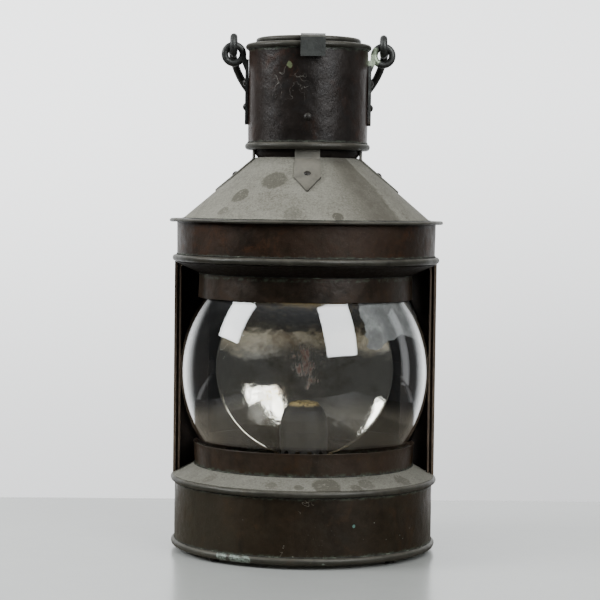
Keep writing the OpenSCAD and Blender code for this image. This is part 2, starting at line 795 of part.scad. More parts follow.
module wick_tube() {
    color("#7a6238")
    difference() {
        translate([-14, -2.7, 62]) cube([28, 5.4, 76]);
        translate([-13, -1.8, 60]) cube([26, 3.6, 80]);
        translate([-10, 0, shaft_z - 5]) cube([20, 6, 10]);
    }
}
module wick() {
    color("#cbbf9f") translate([-wick_w / 2, -1.5, 22]) cube([wick_w, 3, 119]);
}
module winder() {
    color("#7a6238")
    translate([0, shaft_y, shaft_z]) rotate([0, 90, 0])
        difference() {
            union() {
                translate([0, 0, -9.5]) cylinder(r = 1.5, h = 85);
                for (x = [-8.5, 5]) translate([0, 0, x]) cylinder(r = 4, h = 3.5);
                translate([0, 0, 71]) cylinder(r = 8, h = 4);
                translate([0, 0, 69]) cylinder(r1 = 3, r2 = 6, h = 2.05);
            }
            for (i = [0:23]) rotate(i * 15) translate([8.5, 0, 70]) cylinder(r = 0.8, h = 6);
        }
}

// ---- one line a node ----

bottom_plate();
feet();
base_band();
base_bead();
shoulder_bead();
shoulder_deck();
lower_collar();
glass_gaskets();
barrel_glass();
glass_end_left();
glass_end_right();
upper_collar();
soffit();
band_bead();
upper_band();
brim();
roof_cone();
neck_tube();
smoke_baffle();
strap_front();
strap_rear();
strap_left();
strap_right();
strap_rivets();
cowl_tube();
cowl_lower_bead();
cowl_upper_bead();
cowl_top();
cowl_rivets();
eye_left();
eye_right();
eye_rivets();
bail();
lid();
lid_bead();
lid_catch();
lid_leaf();
cowl_leaf();
leaf_rivets();
lid_pin();
post_left();
post_right();
rear_shell();
rear_door();
door_leaves();
shell_leaves();
door_pins();
door_pull();
latch_stud();
latch_button();
reflector();
stay_left();
stay_right();
font_tray();
oil_font();
filler_cap();
burner();
wick_tube();
wick();
winder();
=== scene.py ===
import bpy, bmesh, math
from mathutils import Matrix, Vector, noise


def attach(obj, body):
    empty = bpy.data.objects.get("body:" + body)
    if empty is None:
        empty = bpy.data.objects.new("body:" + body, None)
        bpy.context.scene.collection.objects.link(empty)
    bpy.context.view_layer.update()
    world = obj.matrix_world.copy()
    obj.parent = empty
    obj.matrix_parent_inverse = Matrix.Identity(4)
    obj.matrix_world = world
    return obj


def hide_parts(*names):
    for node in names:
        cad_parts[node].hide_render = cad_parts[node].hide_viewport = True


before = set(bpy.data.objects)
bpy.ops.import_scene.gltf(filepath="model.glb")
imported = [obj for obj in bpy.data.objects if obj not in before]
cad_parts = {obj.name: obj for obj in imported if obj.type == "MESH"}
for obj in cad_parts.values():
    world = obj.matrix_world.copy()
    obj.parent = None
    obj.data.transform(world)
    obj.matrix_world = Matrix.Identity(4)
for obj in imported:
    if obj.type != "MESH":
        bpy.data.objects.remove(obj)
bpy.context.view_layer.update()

MM = 0.001                                        # sizes of the lantern are in mm, as in its CAD source
col = bpy.context.scene.collection


# ---------------------------------------------------------------- node helpers
class Mat:
    """A small builder for procedural materials. All patterns use object coordinates, in metres."""

    def __init__(self, name):
        self.m = bpy.data.materials.new(name)
        self.m.use_nodes = True
        self.nt = self.m.node_tree
        self.nt.nodes.clear()
        self.out = self.new("ShaderNodeOutputMaterial")
        self.b = self.new("ShaderNodeBsdfPrincipled")
        self.link(self.b.outputs[0], self.out.inputs[0])
        tc = self.new("ShaderNodeTexCoord")
        self.co, self.nrm = tc.outputs["Object"], tc.outputs["Normal"]
        s = self.new("ShaderNodeSeparateXYZ")
        self.link(self.co, s.inputs[0])
        self.x, self.y, self.z = s.outputs
        s2 = self.new("ShaderNodeSeparateXYZ")
        self.link(self.nrm, s2.inputs[0])
        self.ny, self.nz = s2.outputs[1], s2.outputs[2]

    def new(self, kind):
        return self.nt.nodes.new(kind)

    def link(self, a, b):
        self.nt.links.new(a, b)

    def put(self, sock, v):
        """Sets a socket to a number or colour, or links it to an output."""
        if hasattr(v, "is_output"):
            self.link(v, sock)
        elif isinstance(v, (tuple, list)) and len(v) == 3 and sock.type == "RGBA":
            sock.default_value = (*v, 1)
        else:
            sock.default_value = v

    def math(self, op, a, b=0.0):
        n = self.new("ShaderNodeMath")
        n.operation = op
        self.put(n.inputs[0], a)
        self.put(n.inputs[1], b)
        return n.outputs[0]

    def add(self, a, b):
        return self.math("ADD", a, b)

    def sub(self, a, b):
        return self.math("SUBTRACT", a, b)

    def mul(self, a, b):
        return self.math("MULTIPLY", a, b)

    def max(self, a, b):
        return self.math("MAXIMUM", a, b)

    def weigh(self, a, wa, b, wb):
        """a and b added, each with its own weight."""
        return self.add(self.mul(a, wa), self.mul(b, wb))

    def noise(self, scale, detail=5.0, rough=0.55, dist=0.0, stretch=(1, 1, 1), at=(0, 0, 0)):
        """Cloudy noise, 0 to 1; at shifts it, so that two patterns differ."""
        mp = self.new("ShaderNodeMapping")
        self.link(self.co, mp.inputs[0])
        mp.inputs["Scale"].default_value = stretch
        mp.inputs["Location"].default_value = at
        n = self.new("ShaderNodeTexNoise")
        self.link(mp.outputs[0], n.inputs["Vector"])
        n.inputs["Scale"].default_value = scale
        n.inputs["Detail"].default_value = detail
        n.inputs["Roughness"].default_value = rough
        n.inputs["Distortion"].default_value = dist
        return n.outputs[0]

    def cells(self, scale, at=(0, 0, 0)):
        """Distance to the nearest of many scattered points, for specks."""
        mp = self.new("ShaderNodeMapping")
        self.link(self.co, mp.inputs[0])
        mp.inputs["Location"].default_value = at
        n = self.new("ShaderNodeTexVoronoi")
        self.link(mp.outputs[0], n.inputs["Vector"])
        n.inputs["Scale"].default_value = scale
        return n.outputs["Distance"]

    def step(self, v, lo, hi, to0=0.0, to1=1.0):
        """A smooth step from to0, where v is lo, to to1, where v is hi."""
        n = self.new("ShaderNodeMapRange")
        n.interpolation_type = "SMOOTHSTEP"
        self.put(n.inputs["Value"], v)
        n.inputs["From Min"].default_value = lo
        n.inputs["From Max"].default_value = hi
        n.inputs["To Min"].default_value = to0
        n.inputs["To Max"].default_value = to1
        return n.outputs[0]

    def ramp(self, fac, stops):
        """A colour from stops of (position, colour)."""
        n = self.new("ShaderNodeValToRGB")
        self.link(fac, n.inputs[0])
        e = n.color_ramp.elements
        while len(e) < len(stops):
            e.new(0.5)
        for i, (p, c) in enumerate(stops):
            e[i].position = p
            e[i].color = (*c, 1)
        return n.outputs[0]

    def mix(self, fac, a, b):
        """Colour a where fac is 0, b where it is 1."""
        n = self.new("ShaderNodeMix")
        n.data_type = "RGBA"
        ins = [i for i in n.inputs if i.type == "RGBA"]
        self.put(n.inputs[0], fac)
        self.put(ins[0], a)
        self.put(ins[1], b)
        return [o for o in n.outputs if o.type == "RGBA"][0]

    def near_z(self, z0, w):
        """1 at height z0, falling to 0 at w away, in metres."""
        d = self.math("ABSOLUTE", self.sub(self.z, z0))
        return self.step(d, 0.0, w, 1, 0)

    def spot(self, at, r, ragged=0.3, nscale=60):
        """1 inside a ragged ball of radius r round a point."""
        v = self.new("ShaderNodeVectorMath")
        v.operation = "DISTANCE"
        self.link(self.co, v.inputs[0])
        v.inputs[1].default_value = at
        edge = self.mul(self.sub(self.noise(nscale, 4), 0.5), r * ragged * 2)
        d = self.add(v.outputs["Value"], edge)
        return self.step(d, r * 0.8, r * 1.05, 1, 0)

    def bumps(self, *layers):
        """Feeds the shader's normal from layers of (height socket, depth in metres)."""
        last = None
        for h, depth in layers:
            n = self.new("ShaderNodeBump")
            n.inputs["Strength"].default_value = 1.0
            n.inputs["Distance"].default_value = depth
            self.put(n.inputs["Height"], h)
            if last is not None:
                self.link(last, n.inputs["Normal"])
            last = n.outputs[0]
        self.link(last, self.b.inputs["Normal"])

    def set(self, **kw):
        """Sets the shader's own sockets by short names."""
        names = {"color": "Base Color", "metal": "Metallic", "rough": "Roughness", "ior": "IOR",
                 "spec": "Specular IOR Level", "trans": "Transmission Weight", "alpha": "Alpha",
                 "coat": "Coat Weight", "coat_rough": "Coat Roughness", "sheen": "Sheen Weight",
                 "sheen_rough": "Sheen Roughness"}
        for k, v in kw.items():
            self.put(self.b.inputs[names[k]], v)
        return self


def give(obj, mat):
    """Puts a material in every slot of an object."""
    slots = obj.data.materials
    if not slots:
        slots.append(mat.m)
    for i in range(len(slots)):
        slots[i] = mat.m


def shade(color, k):
    return tuple(v * k for v in color)


def metres(point):
    return tuple(v * MM for v in point)


# ---------------------------------------------------------------- materials
def copper(name, dark=(0.0085, 0.0060, 0.0034), mid=(0.0215, 0.0140, 0.0070), red=(0.058, 0.027, 0.009),
           green_at=(), dust=0.0, redness=0.5, rough=(0.34, 0.52), metal=0.12, seed=0.0, grey=0.3,
           grey_color=(0.028, 0.027, 0.018), spec=0.24, extra=None):
    """Old copper sheet: brown patina, redder and blacker patches, drips, verdigris along joints, dust.

    green_at lists (height, half width) of the verdigris in mm; extra(m, colour) adds a piece's own marks."""
    m = Mat(name)
    big = m.noise(14, 6, 0.6, 0.6, at=(seed, 0, 0))
    fine = m.noise(120, 8, 0.7, 0.2, at=(seed, 3, 0))
    drip = m.noise(60, 5, 0.6, 0.3, stretch=(1, 1, 0.18), at=(0, seed, 1))
    grain = m.noise(900, 4, 0.6)
    c = m.ramp(m.weigh(big, 0.65, fine, 0.35), [(0.30, dark), (0.52, mid), (0.70, shade(mid, 1.45))])
    # redder copper where the brown has rubbed thin
    r = m.mul(m.step(m.noise(26, 6, 0.62, 0.8, at=(5, seed, 2)), 0.50, 0.68), m.step(fine, 0.35, 0.6))
    c = m.mix(m.mul(r, redness), c, red)
    # blackened drips
    c = m.mix(m.mul(m.step(drip, 0.55, 0.75), 0.55), c, shade(dark, 0.45))
    # dull grey bloom that sits on the brown
    bloom = m.step(m.noise(40, 7, 0.68, 0.4, at=(9, 1, seed)), 0.46, 0.72)
    c = m.mix(m.mul(bloom, grey), c, grey_color)
    masks = None
    for z, w in green_at:
        g = m.near_z(z * MM, w * MM)
        masks = g if masks is None else m.max(masks, g)
    if masks is not None:
        g = m.mul(masks, m.step(m.noise(150, 5, 0.7, at=(1, 7, seed)), 0.42, 0.62))
        c = m.mix(m.mul(g, 0.7), c, (0.075, 0.095, 0.068))
    if dust:
        up = m.step(m.nz, 0.15, 0.75)
        d = m.mul(m.mul(up, m.step(m.noise(70, 7, 0.7), 0.25, 0.62)), dust)
        c = m.mix(d, c, (0.23, 0.215, 0.175))
    # pale specks
    sp = m.step(m.cells(330, at=(seed, 0, 0)), 0.0, 0.14, 1, 0)
    sp = m.mul(sp, m.step(m.noise(30, 3), 0.54, 0.62))
    c = m.mix(m.mul(sp, 0.55), c, (0.20, 0.17, 0.13))
    if extra:
        c = extra(m, c)
    m.set(color=c, metal=metal, spec=spec)
    patchy = m.step(m.weigh(big, 0.5, fine, 0.5), 0.35, 0.65, rough[0], rough[1])
    m.put(m.b.inputs["Roughness"], m.add(patchy, m.mul(sp, 0.2)))
    m.bumps((m.noise(22, 4, 0.5, at=(2, seed, 0)), 0.0022), (fine, 0.00035), (grain, 0.00006))
    return m


def dusty(name, tone=1.0, dark_spots=(), swath_and_shade=False, seed=0.0, cover=0.93):
    """Copper sheet under a dry grey-beige film; dark_spots lists (place in mm, radius in mm, depth) of dark
    spots, each with painted highlights.
    """
    m = Mat(name)
    n1 = m.noise(18, 7, 0.65, 0.4, at=(seed, 0, 0))
    n2 = m.noise(95, 8, 0.72, at=(0, seed, 0))
    gr = m.noise(520, 6, 0.75)
    base = m.ramp(m.weigh(n1, 0.5, n2, 0.5), [(0.30, shade((0.115, 0.108, 0.082), tone)),
                                              (0.50, shade((0.225, 0.220, 0.178), tone)),
                                              (0.68, shade((0.295, 0.290, 0.243), tone))])
    c = m.mix(m.step(gr, 0.40, 0.62, 0.0, 0.5), base, shade((0.37, 0.355, 0.30), tone))
    dirt = m.step(m.noise(430, 5, 0.75, at=(7, 7, 7)), 0.52, 0.66, 0.0, 0.55)
    c = m.mix(dirt, c, shade((0.10, 0.095, 0.075), tone))
    under = m.mix(n2, (0.035, 0.024, 0.016), (0.085, 0.055, 0.035))
    bare = m.step(m.weigh(n2, 0.6, n1, 0.4), 0.28, 0.40, 1, 0)
    c = m.mix(m.mul(bare, cover), c, under)
    for at, r, depth in dark_spots:
        s = m.spot(metres(at), r * MM, 0.35, 90)
        # the pale flecks inside each dark spot are painted highlights
        inner = m.mul(s, m.step(m.noise(260, 5, 0.7), 0.55, 0.66))
        c = m.mix(m.mul(s, depth), c, (0.075, 0.070, 0.052))
        c = m.mix(m.mul(inner, 0.5), c, (0.30, 0.29, 0.24))
    if swath_and_shade:
        # a darker streak down the right of the front, sharp on its far side
        turned = m.math("ARCTAN2", m.x, m.mul(m.y, -1.0))
        turned = m.add(turned, m.mul(m.sub(n1, 0.5), 0.25))
        s = m.mul(m.step(turned, 0.22, 0.62), m.step(turned, 0.80, 0.86, 1, 0))
        s = m.mul(s, m.step(m.weigh(n2, 0.6, n1, 0.4), 0.36, 0.56, 0.62, 1.0))
        c = m.mix(m.mul(s, 0.85), c, (0.082, 0.074, 0.056))
        # further round, the right side of the cone is painted a little darker: painted shade
        s = m.mul(m.step(turned, 0.86, 0.95), m.step(turned, 1.3, 1.7, 1, 0))
        c = m.mix(m.mul(s, 0.25), c, (0.13, 0.12, 0.10))
    # grains and crumbs
    sp = m.step(m.cells(420, at=(seed, 2, 0)), 0.0, 0.16, 1, 0)
    c = m.mix(m.mul(sp, m.step(m.noise(45, 3), 0.45, 0.6, 0.0, 0.8)), c, (0.46, 0.43, 0.36))
    dk = m.step(m.cells(260, at=(seed, 8, 4)), 0.0, 0.13, 1, 0)
    c = m.mix(m.mul(dk, m.step(m.noise(38, 3, at=(4, 0, 0)), 0.48, 0.62, 0.0, 0.85)), c, (0.07, 0.05, 0.035))
    m.set(color=c, metal=0.08, rough=0.86, spec=0.35)
    m.bumps((n1, 0.0016), (n2, 0.0006), (gr, 0.00012), (sp, 0.0002))
    return m


def iron(name, verdigris=()):
    """Dull dark forged wire; verdigris lists (place in mm, radius in mm, depth)."""
    m = Mat(name)
    n = m.noise(70, 7, 0.7)
    f = m.noise(500, 5, 0.7)
    c = m.ramp(m.weigh(n, 0.6, f, 0.4), [(0.3, (0.016, 0.016, 0.014)), (0.52, (0.045, 0.047, 0.044)),
                                         (0.72, (0.095, 0.098, 0.090))])
    c = m.mix(m.step(m.noise(45, 6, 0.7, at=(3, 1, 0)), 0.56, 0.70, 0, 0.55), c, (0.075, 0.040, 0.022))
    for at, r, depth in verdigris:
        s = m.mul(m.spot(metres(at), r * MM, 0.5, 160), m.step(m.noise(260, 5, 0.7), 0.30, 0.5))
        c = m.mix(m.mul(s, depth), c, (0.42, 0.50, 0.36))
    m.set(color=c, metal=0.45)
    m.put(m.b.inputs["Roughness"], m.step(f, 0.35, 0.65, 0.38, 0.62))
    m.bumps((n, 0.0005), (f, 0.00018))
    return m


def soot(name, a, b, rough=0.6):
    """A dull old surface, from colour a to colour b."""
    m = Mat(name)
    n = m.noise(24, 7, 0.65, 0.5)
    f = m.noise(240, 5, 0.7)
    c = m.ramp(m.weigh(n, 0.6, f, 0.4), [(0.32, a), (0.55, b), (0.72, shade(b, 1.5))])
    m.set(color=c, metal=0.05, spec=0.2)
    m.put(m.b.inputs["Roughness"], m.step(f, 0.3, 0.7, rough - 0.08, rough + 0.12))
    m.bumps((n, 0.0012), (f, 0.0002))
    return m


def joint_line(name):
    """Solder and verdigris that shows as a thin pale line in the joints."""
    m = Mat(name)
    n = m.noise(120, 6, 0.7)
    f = m.noise(900, 4, 0.7)
    c = m.ramp(n, [(0.42, (0.013, 0.011, 0.008)), (0.54, (0.035, 0.038, 0.028)),
                   (0.64, (0.10, 0.12, 0.085)), (0.76, (0.24, 0.25, 0.19))])
    m.set(color=c, metal=0.1, rough=0.75)
    m.bumps((n, 0.0003), (f, 0.0001))
    return m


def base_marks_and_light(m, c):
    """White and teal crumbs, a thin pale scratch low on the front, and painted light on the left of the drum.
    """
    crumbs = m.step(m.cells(120, at=(3, 3, 3)), 0.0, 0.085, 1, 0)
    crumbs = m.mul(crumbs, m.step(m.noise(17, 3, at=(1, 2, 3)), 0.50, 0.56))
    c = m.mix(m.mul(crumbs, 0.9), c, (0.30, 0.31, 0.27))
    c = m.mix(m.spot((0.048, -0.119, 0.0405), 0.0016, 0.6, 500), c, (0.10, 0.20, 0.17))
    low = m.spot((-0.012, -0.128, 0.0165), 0.010, 0.4, 90)
    zone = m.max(low, m.spot((0.003, -0.128, 0.058), 0.008, 0.4, 90))
    wander = m.sub(m.noise(60, 2, 0.6, 0.6, at=(2, 9, 0)), 0.5)
    line = m.step(m.math("ABSOLUTE", wander), 0.0, 0.006, 1, 0)
    c = m.mix(m.mul(m.mul(line, zone), 0.85), c, (0.30, 0.28, 0.23))
    # the left of the drum is painted lighter and greyer: painted light falling from the left
    left_painted_light = m.step(m.x, -0.03, -0.12)
    return m.mix(m.mul(left_painted_light, 0.45), c, (0.036, 0.034, 0.022))


def cowl_marks(m, c):
    """Thin pale scratches and a green fleck on the front of the cowl."""
    zone = m.spot((-0.020, -0.057, 0.4575), 0.021, 0.5, 60)
    for at, k, w in (((3, 1, 0), 55, 0.006), ((8, 2, 5), 38, 0.004)):
        n = m.noise(k, 2.5, 0.6, 0.5, at=at)
        line = m.step(m.math("ABSOLUTE", m.sub(n, 0.5)), 0.0, w, 1, 0)
        line = m.mul(line, m.step(m.noise(130, 3, at=(0, 4, 1)), 0.42, 0.56))
        c = m.mix(m.mul(m.mul(line, zone), 0.9), c, (0.26, 0.25, 0.22))
    fleck = m.spot((-0.019, -0.057, 0.4775), 0.0036, 0.9, 300)
    c = m.mix(m.mul(fleck, 0.9), c, (0.16, 0.19, 0.10))
    warm = m.step(m.math("ABSOLUTE", m.x), 0.040, 0.060)
    return m.mix(m.mul(warm, 0.35), c, (0.050, 0.022, 0.012))


def corroded(m, c):
    """A pale green crust of old solder on the front left of the bottom edge."""
    s = m.spot((-0.076, -0.104, 0.009), 0.0060, 0.8, 170)
    for at, r in (((-0.064, -0.113, 0.008), 0.0065), ((-0.054, -0.118, 0.0065), 0.0060),
                  ((0.020, -0.131, 0.004), 0.0030)):
        s = m.max(s, m.spot(at, r, 0.8, 170))
    s = m.mul(s, m.step(m.noise(420, 5, 0.7), 0.40, 0.56, 0.15, 0.85))
    return m.mix(s, c, (0.24, 0.29, 0.25))


def brass(name, tone):
    """Dull lamp brass."""
    m = Mat(name)
    n = m.noise(60, 7, 0.65, 0.4)
    f = m.noise(380, 5, 0.7)
    c = m.ramp(m.weigh(n, 0.6, f, 0.4), [(0.30, shade((0.030, 0.022, 0.012), tone)),
                                         (0.52, shade((0.120, 0.085, 0.038), tone)),
                                         (0.72, shade((0.26, 0.19, 0.075), tone))])
    m.set(color=c, metal=0.75)
    m.put(m.b.inputs["Roughness"], m.step(f, 0.3, 0.7, 0.34, 0.58))
    m.bumps((n, 0.0006), (f, 0.0002))
    return m


def dark_burner():
    """Dark dull burner with a yellow-brown corroded crown."""
    m = Mat("burner_dark")
    n = m.noise(60, 7, 0.65, 0.4)
    f = m.noise(380, 5, 0.7)
    c = m.ramp(m.weigh(n, 0.6, f, 0.4), [(0.30, (0.005, 0.0045, 0.004)), (0.52, (0.012, 0.011, 0.009)),
                                         (0.72, (0.032, 0.027, 0.021))])
    top = m.mul(m.step(m.z, 0.1415, 0.1445), m.step(m.noise(320, 6, 0.75), 0.38, 0.55))
    c = m.mix(top, c, (0.30, 0.22, 0.09))
    m.set(color=c, metal=0.1, spec=0.25)
    m.put(m.b.inputs["Roughness"], m.step(f, 0.3, 0.7, 0.45, 0.7))
    m.bumps((n, 0.0008), (f, 0.0003))
    return m


def cotton():
    """Woven wick, charred at its top."""
    m = Mat("wick_cotton")
    w = m.new("ShaderNodeTexWave")
    m.link(m.co, w.inputs["Vector"])
    w.inputs["Scale"].default_value = 420
    w.inputs["Distortion"].default_value = 1.5
    c = m.mix(w.outputs[1], (0.40, 0.36, 0.28), (0.62, 0.57, 0.46))
    char = m.step(m.z, 0.134, 0.139)
    c = m.mix(char, c, (0.02, 0.018, 0.015))
    m.set(color=c, rough=0.95, sheen=0.3)
    m.bumps((w.outputs[1], 0.0004))
    return m


def glass():
    """Clear old glass with wavy faces, smears and specks."""
    m = Mat("lens_glass")
    sm = m.noise(16, 6, 0.6, 0.8)
    wav = m.noise(11, 2, 0.4)
    dirt = m.step(m.noise(38, 7, 0.72, 0.5, at=(3, 0, 0)), 0.54, 0.74)
    dirt = m.mul(dirt, m.step(m.noise(420, 4, 0.7), 0.40, 0.62))
    specks = m.mul(m.step(m.cells(300), 0.0, 0.10, 1, 0), m.step(m.noise(26, 3, at=(0, 5, 0)), 0.48, 0.58))
    m.set(color=(0.965, 0.985, 0.98), trans=1.0, ior=1.5, coat=0.8, coat_rough=0.0)
    m.put(m.b.inputs["Roughness"], m.step(sm, 0.45, 0.75, 0.0, 0.045))
    m.bumps((wav, 0.0007))
    # a little dry dirt, and shadow rays pass straight through
    d = m.new("ShaderNodeBsdfDiffuse")
    d.inputs[0].default_value = (0.42, 0.42, 0.40, 1)
    mx = m.new("ShaderNodeMixShader")
    m.link(m.weigh(dirt, 0.05, specks, 0.35), mx.inputs[0])
    m.link(m.b.outputs[0], mx.inputs[1])
    m.link(d.outputs[0], mx.inputs[2])
    t = m.new("ShaderNodeBsdfTransparent")
    lp = m.new("ShaderNodeLightPath")
    mx2 = m.new("ShaderNodeMixShader")
    m.link(m.mul(lp.outputs["Is Shadow Ray"], 0.9), mx2.inputs[0])
    m.link(mx.outputs[0], mx2.inputs[1])
    m.link(t.outputs[0], mx2.inputs[2])
    m.link(mx2.outputs[0], m.out.inputs[0])
    return m


def silver():
    """Tarnished silvering with a red stain in the middle, and a dull unpolished back."""
    m = Mat("reflector_silver")
    n = m.noise(20, 7, 0.65, 0.7)
    f = m.noise(300, 6, 0.75)
    tar = m.step(m.weigh(n, 0.65, f, 0.35), 0.44, 0.64)
    c = m.mix(tar, (0.76, 0.72, 0.64), (0.36, 0.30, 0.22))
    runs = m.step(m.noise(90, 6, 0.75, stretch=(1, 1, 0.5)), 0.46, 0.60)
    red = m.mul(m.spot((0.002, 0.062, 0.178), 0.021, 0.9, 50), runs)
    c = m.mix(m.mul(red, 0.85), c, (0.170, 0.050, 0.022))
    sp = m.mul(m.step(m.cells(420), 0.0, 0.16, 1, 0), m.step(m.noise(40, 4), 0.44, 0.56))
    c = m.mix(m.mul(sp, 0.85), c, (0.10, 0.08, 0.06))
    back = m.step(m.ny, 0.0, 0.15)                 # the back of the dish was never polished
    c = m.mix(back, c, (0.050, 0.042, 0.034))
    m.set(color=c)
    m.put(m.b.inputs["Metallic"], m.sub(1.0, m.max(m.mul(red, 0.8), m.mul(back, 0.7))))
    front = m.add(m.step(n, 0.35, 0.7, 0.04, 0.10), m.weigh(sp, 0.3, red, 0.4))
    m.put(m.b.inputs["Roughness"], m.max(m.mul(back, 0.62), front))
    m.bumps((m.noise(30, 3, 0.5, at=(1, 1, 1)), 0.0010), (f, 0.00006))
    return m


def film():
    """The dried grey film that has peeled from part of the glass."""
    m = Mat("peeled_film")
    n = m.noise(60, 7, 0.7)
    c = m.ramp(n, [(0.36, (0.09, 0.09, 0.088)), (0.52, (0.125, 0.125, 0.122)), (0.68, (0.21, 0.21, 0.205))])
    m.set(color=c, rough=0.8)
    m.put(m.b.inputs["Alpha"], m.step(n, 0.35, 0.65, 0.74, 0.90))
    return m


# ---------------------------------------------------------------- the materials themselves
M_BAND = copper("copper_base", extra=base_marks_and_light, green_at=((11, 3.5), (67, 3.0)), seed=1.0, redness=0.35,
                rough=(0.33, 0.50))
M_COWL = copper("copper_cowl", dark=(0.010, 0.0085, 0.0075), mid=(0.020, 0.0155, 0.0130),
                red=(0.046, 0.018, 0.009), green_at=((404, 2.5), (494, 2.5)), seed=4.0, redness=0.7,
                rough=(0.30, 0.44), grey=0.3, grey_color=(0.032, 0.034, 0.036), spec=0.20, extra=cowl_marks)
M_UPPER = copper("copper_upper", mid=(0.032, 0.018, 0.0105), red=(0.070, 0.028, 0.011),
                 green_at=((293, 2.5),), seed=7.0, redness=0.65, rough=(0.40, 0.58), spec=0.18)
M_COLLAR = copper("copper_collar", mid=(0.036, 0.0235, 0.0155), green_at=((86, 3.0), (271, 2.5)),
                  seed=11.0, redness=0.5, rough=(0.30, 0.50))
BEAD = dict(dark=(0.0170, 0.0160, 0.0120), mid=(0.042, 0.040, 0.031), red=(0.060, 0.035, 0.018),
            redness=0.3, dust=0.26, grey=0.5, rough=(0.38, 0.56), grey_color=(0.058, 0.058, 0.048), spec=0.28)
M_BEAD = copper("copper_bead", seed=15.0, **BEAD)
M_BEAD_LOW = copper("copper_bead_low", seed=16.0, extra=corroded, **BEAD)
M_SHELL = copper("copper_shell", seed=21.0, redness=0.5, green_at=((80, 6), (280, 5)))
M_STRAP = copper("strap_brown", dark=(0.062, 0.057, 0.047), mid=(0.165, 0.162, 0.137),
                 red=(0.12, 0.08, 0.05), seed=25.0, redness=0.25, dust=0.7, grey=0.4, rough=(0.5, 0.7),
                 metal=0.15, grey_color=(0.12, 0.115, 0.10))
M_CATCH = copper("catch_dark", dark=(0.024, 0.025, 0.023), mid=(0.052, 0.056, 0.052),
                 red=(0.05, 0.035, 0.022), seed=29.0, redness=0.2, dust=0.4, grey=0.5, rough=(0.40, 0.58),
                 grey_color=(0.06, 0.062, 0.055))
M_RIVET = copper("rivet_dark", dark=(0.009, 0.008, 0.007), mid=(0.020, 0.018, 0.016), seed=31.0,
                 redness=0.2, dust=0.15)
M_ROOF = dusty("roof_dust", 0.90, seed=2.0, swath_and_shade=True,
               dark_spots=(((-31, -71, 366), 14.0, 0.72), ((-64, -71, 351), 10.0, 0.72),
                           ((29, -114, 332), 6.0, 0.85), ((-13, -114, 335), 10, 0.40),
                           ((-80, -80, 336), 6.5, 0.45), ((60, 70, 350), 10, 0.6), ((-20, 95, 345), 8, 0.6)))
M_DECK = dusty("deck_dust", 0.68, seed=6.0,
               dark_spots=(((22, -121, 79), 15, 0.85), ((60, -105, 78), 9, 0.6), ((-30, -119, 79), 7, 0.5),
                           ((96, -75, 79), 10, 0.6), ((-4, -124, 77), 5, 0.7), ((50, -116, 77), 6, 0.8),
                           ((-90, -80, 79), 8, 0.4)))
M_LID = dusty("lid_dust", 0.55, seed=9.0, cover=1.0)
M_IRON = iron("forged_iron")
M_EYE_R = iron("forged_iron_green", verdigris=(((63.5, 0, 487), 8.5, 0.95), ((64.5, -3, 494), 6, 0.8)))
M_SOOT = soot("soot_inside", (0.005, 0.004, 0.0035), (0.016, 0.011, 0.008))
M_FLOOR = soot("dusty_floor", (0.035, 0.030, 0.022), (0.13, 0.112, 0.085), 0.8)
M_POST = soot("post_brown", (0.040, 0.029, 0.021), (0.120, 0.088, 0.062), 0.5)
M_PUTTY = soot("old_putty", (0.03, 0.028, 0.022), (0.085, 0.08, 0.065), 0.85)
M_JOINT = joint_line("joint_line")
M_BRASS = brass("lamp_brass", 0.9)
M_BURNER = dark_burner()
M_COTTON = cotton()
M_GLASS = glass()
M_SILVER = silver()
M_FILM = film()


# ---------------------------------------------------------------- geometry helpers
SHARP = math.radians(38)                          # edges that turn more than this stay crisp
WHOLE = 99                                        # a step, in mm, that leaves a section's lines whole


def smooth(o):
    """Smooth shading, apart from the sharp edges."""
    bm = bmesh.new()
    bm.from_mesh(o.data)
    for e in bm.edges:
        e.smooth = len(e.link_faces) == 2 and e.calc_face_angle(0) < SHARP
    for f in bm.faces:
        f.smooth = True
    bm.to_mesh(o.data)
    bm.free()


def face_outwards(me, weld):
    """Turns the faces of a closed mesh outwards; weld first joins the points that meet."""
    bm = bmesh.new()
    bm.from_mesh(me)
    if weld:
        bmesh.ops.remove_doubles(bm, verts=bm.verts, dist=2e-6)
        bmesh.ops.dissolve_degenerate(bm, dist=1e-6, edges=bm.edges)
    bmesh.ops.recalc_face_normals(bm, faces=bm.faces)
    bm.to_mesh(me)
    bm.free()


def piece(name, verts, faces, mat, body="lantern", replaces=(), weld=False, closed=True):
    """A new piece from points in metres, with its material and the body that it rides on."""
    me = bpy.data.meshes.new(name)
    me.from_pydata(verts, [], faces)
    o = bpy.data.objects.new(name, me)
    col.objects.link(o)
    if closed:
        face_outwards(me, weld)
    smooth(o)
    give(o, mat)
    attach(o, body)
    if replaces:
        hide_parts(*replaces)
    return o


def spread(lo, hi, n):
    """n + 1 even values from lo to hi."""
    return [lo + (hi - lo) * i / n for i in range(n + 1)]


def dense(profile, step):
    """A closed profile, cut so that no stretch is longer than step."""
    out = []
    for i, start in enumerate(profile):
        a, b = Vector((*start, 0)), Vector((*profile[(i + 1) % len(profile)], 0))
        k = max(1, math.ceil((b - a).length / step))
        out += [(a + (b - a) * j / k)[:2] for j in range(k)]
    return out


def fbm(x, y, z, octaves):
    """Layered noise, about -1 to 1."""
    s, a, t = 0.0, 1.0, 0.0
    for _ in range(octaves):
        s += a * noise.noise(Vector((x, y, z)))
        t += a
        x, y, z, a = x * 2.1 + 3.7, y * 2.1 + 1.3, z * 2.1 + 5.1, a * 0.5
    return s / t


def ring_faces(segs, rings, k):
    """Faces from each ring of k points to the next, round to the first one if there are segs rings."""
    faces = []
    for i in range(segs):
        j = (i + 1) % rings
        for q in range(k):
            p = (q + 1) % k
            faces.append((i * k + q, j * k + q, j * k + p, i * k + p))
    return faces


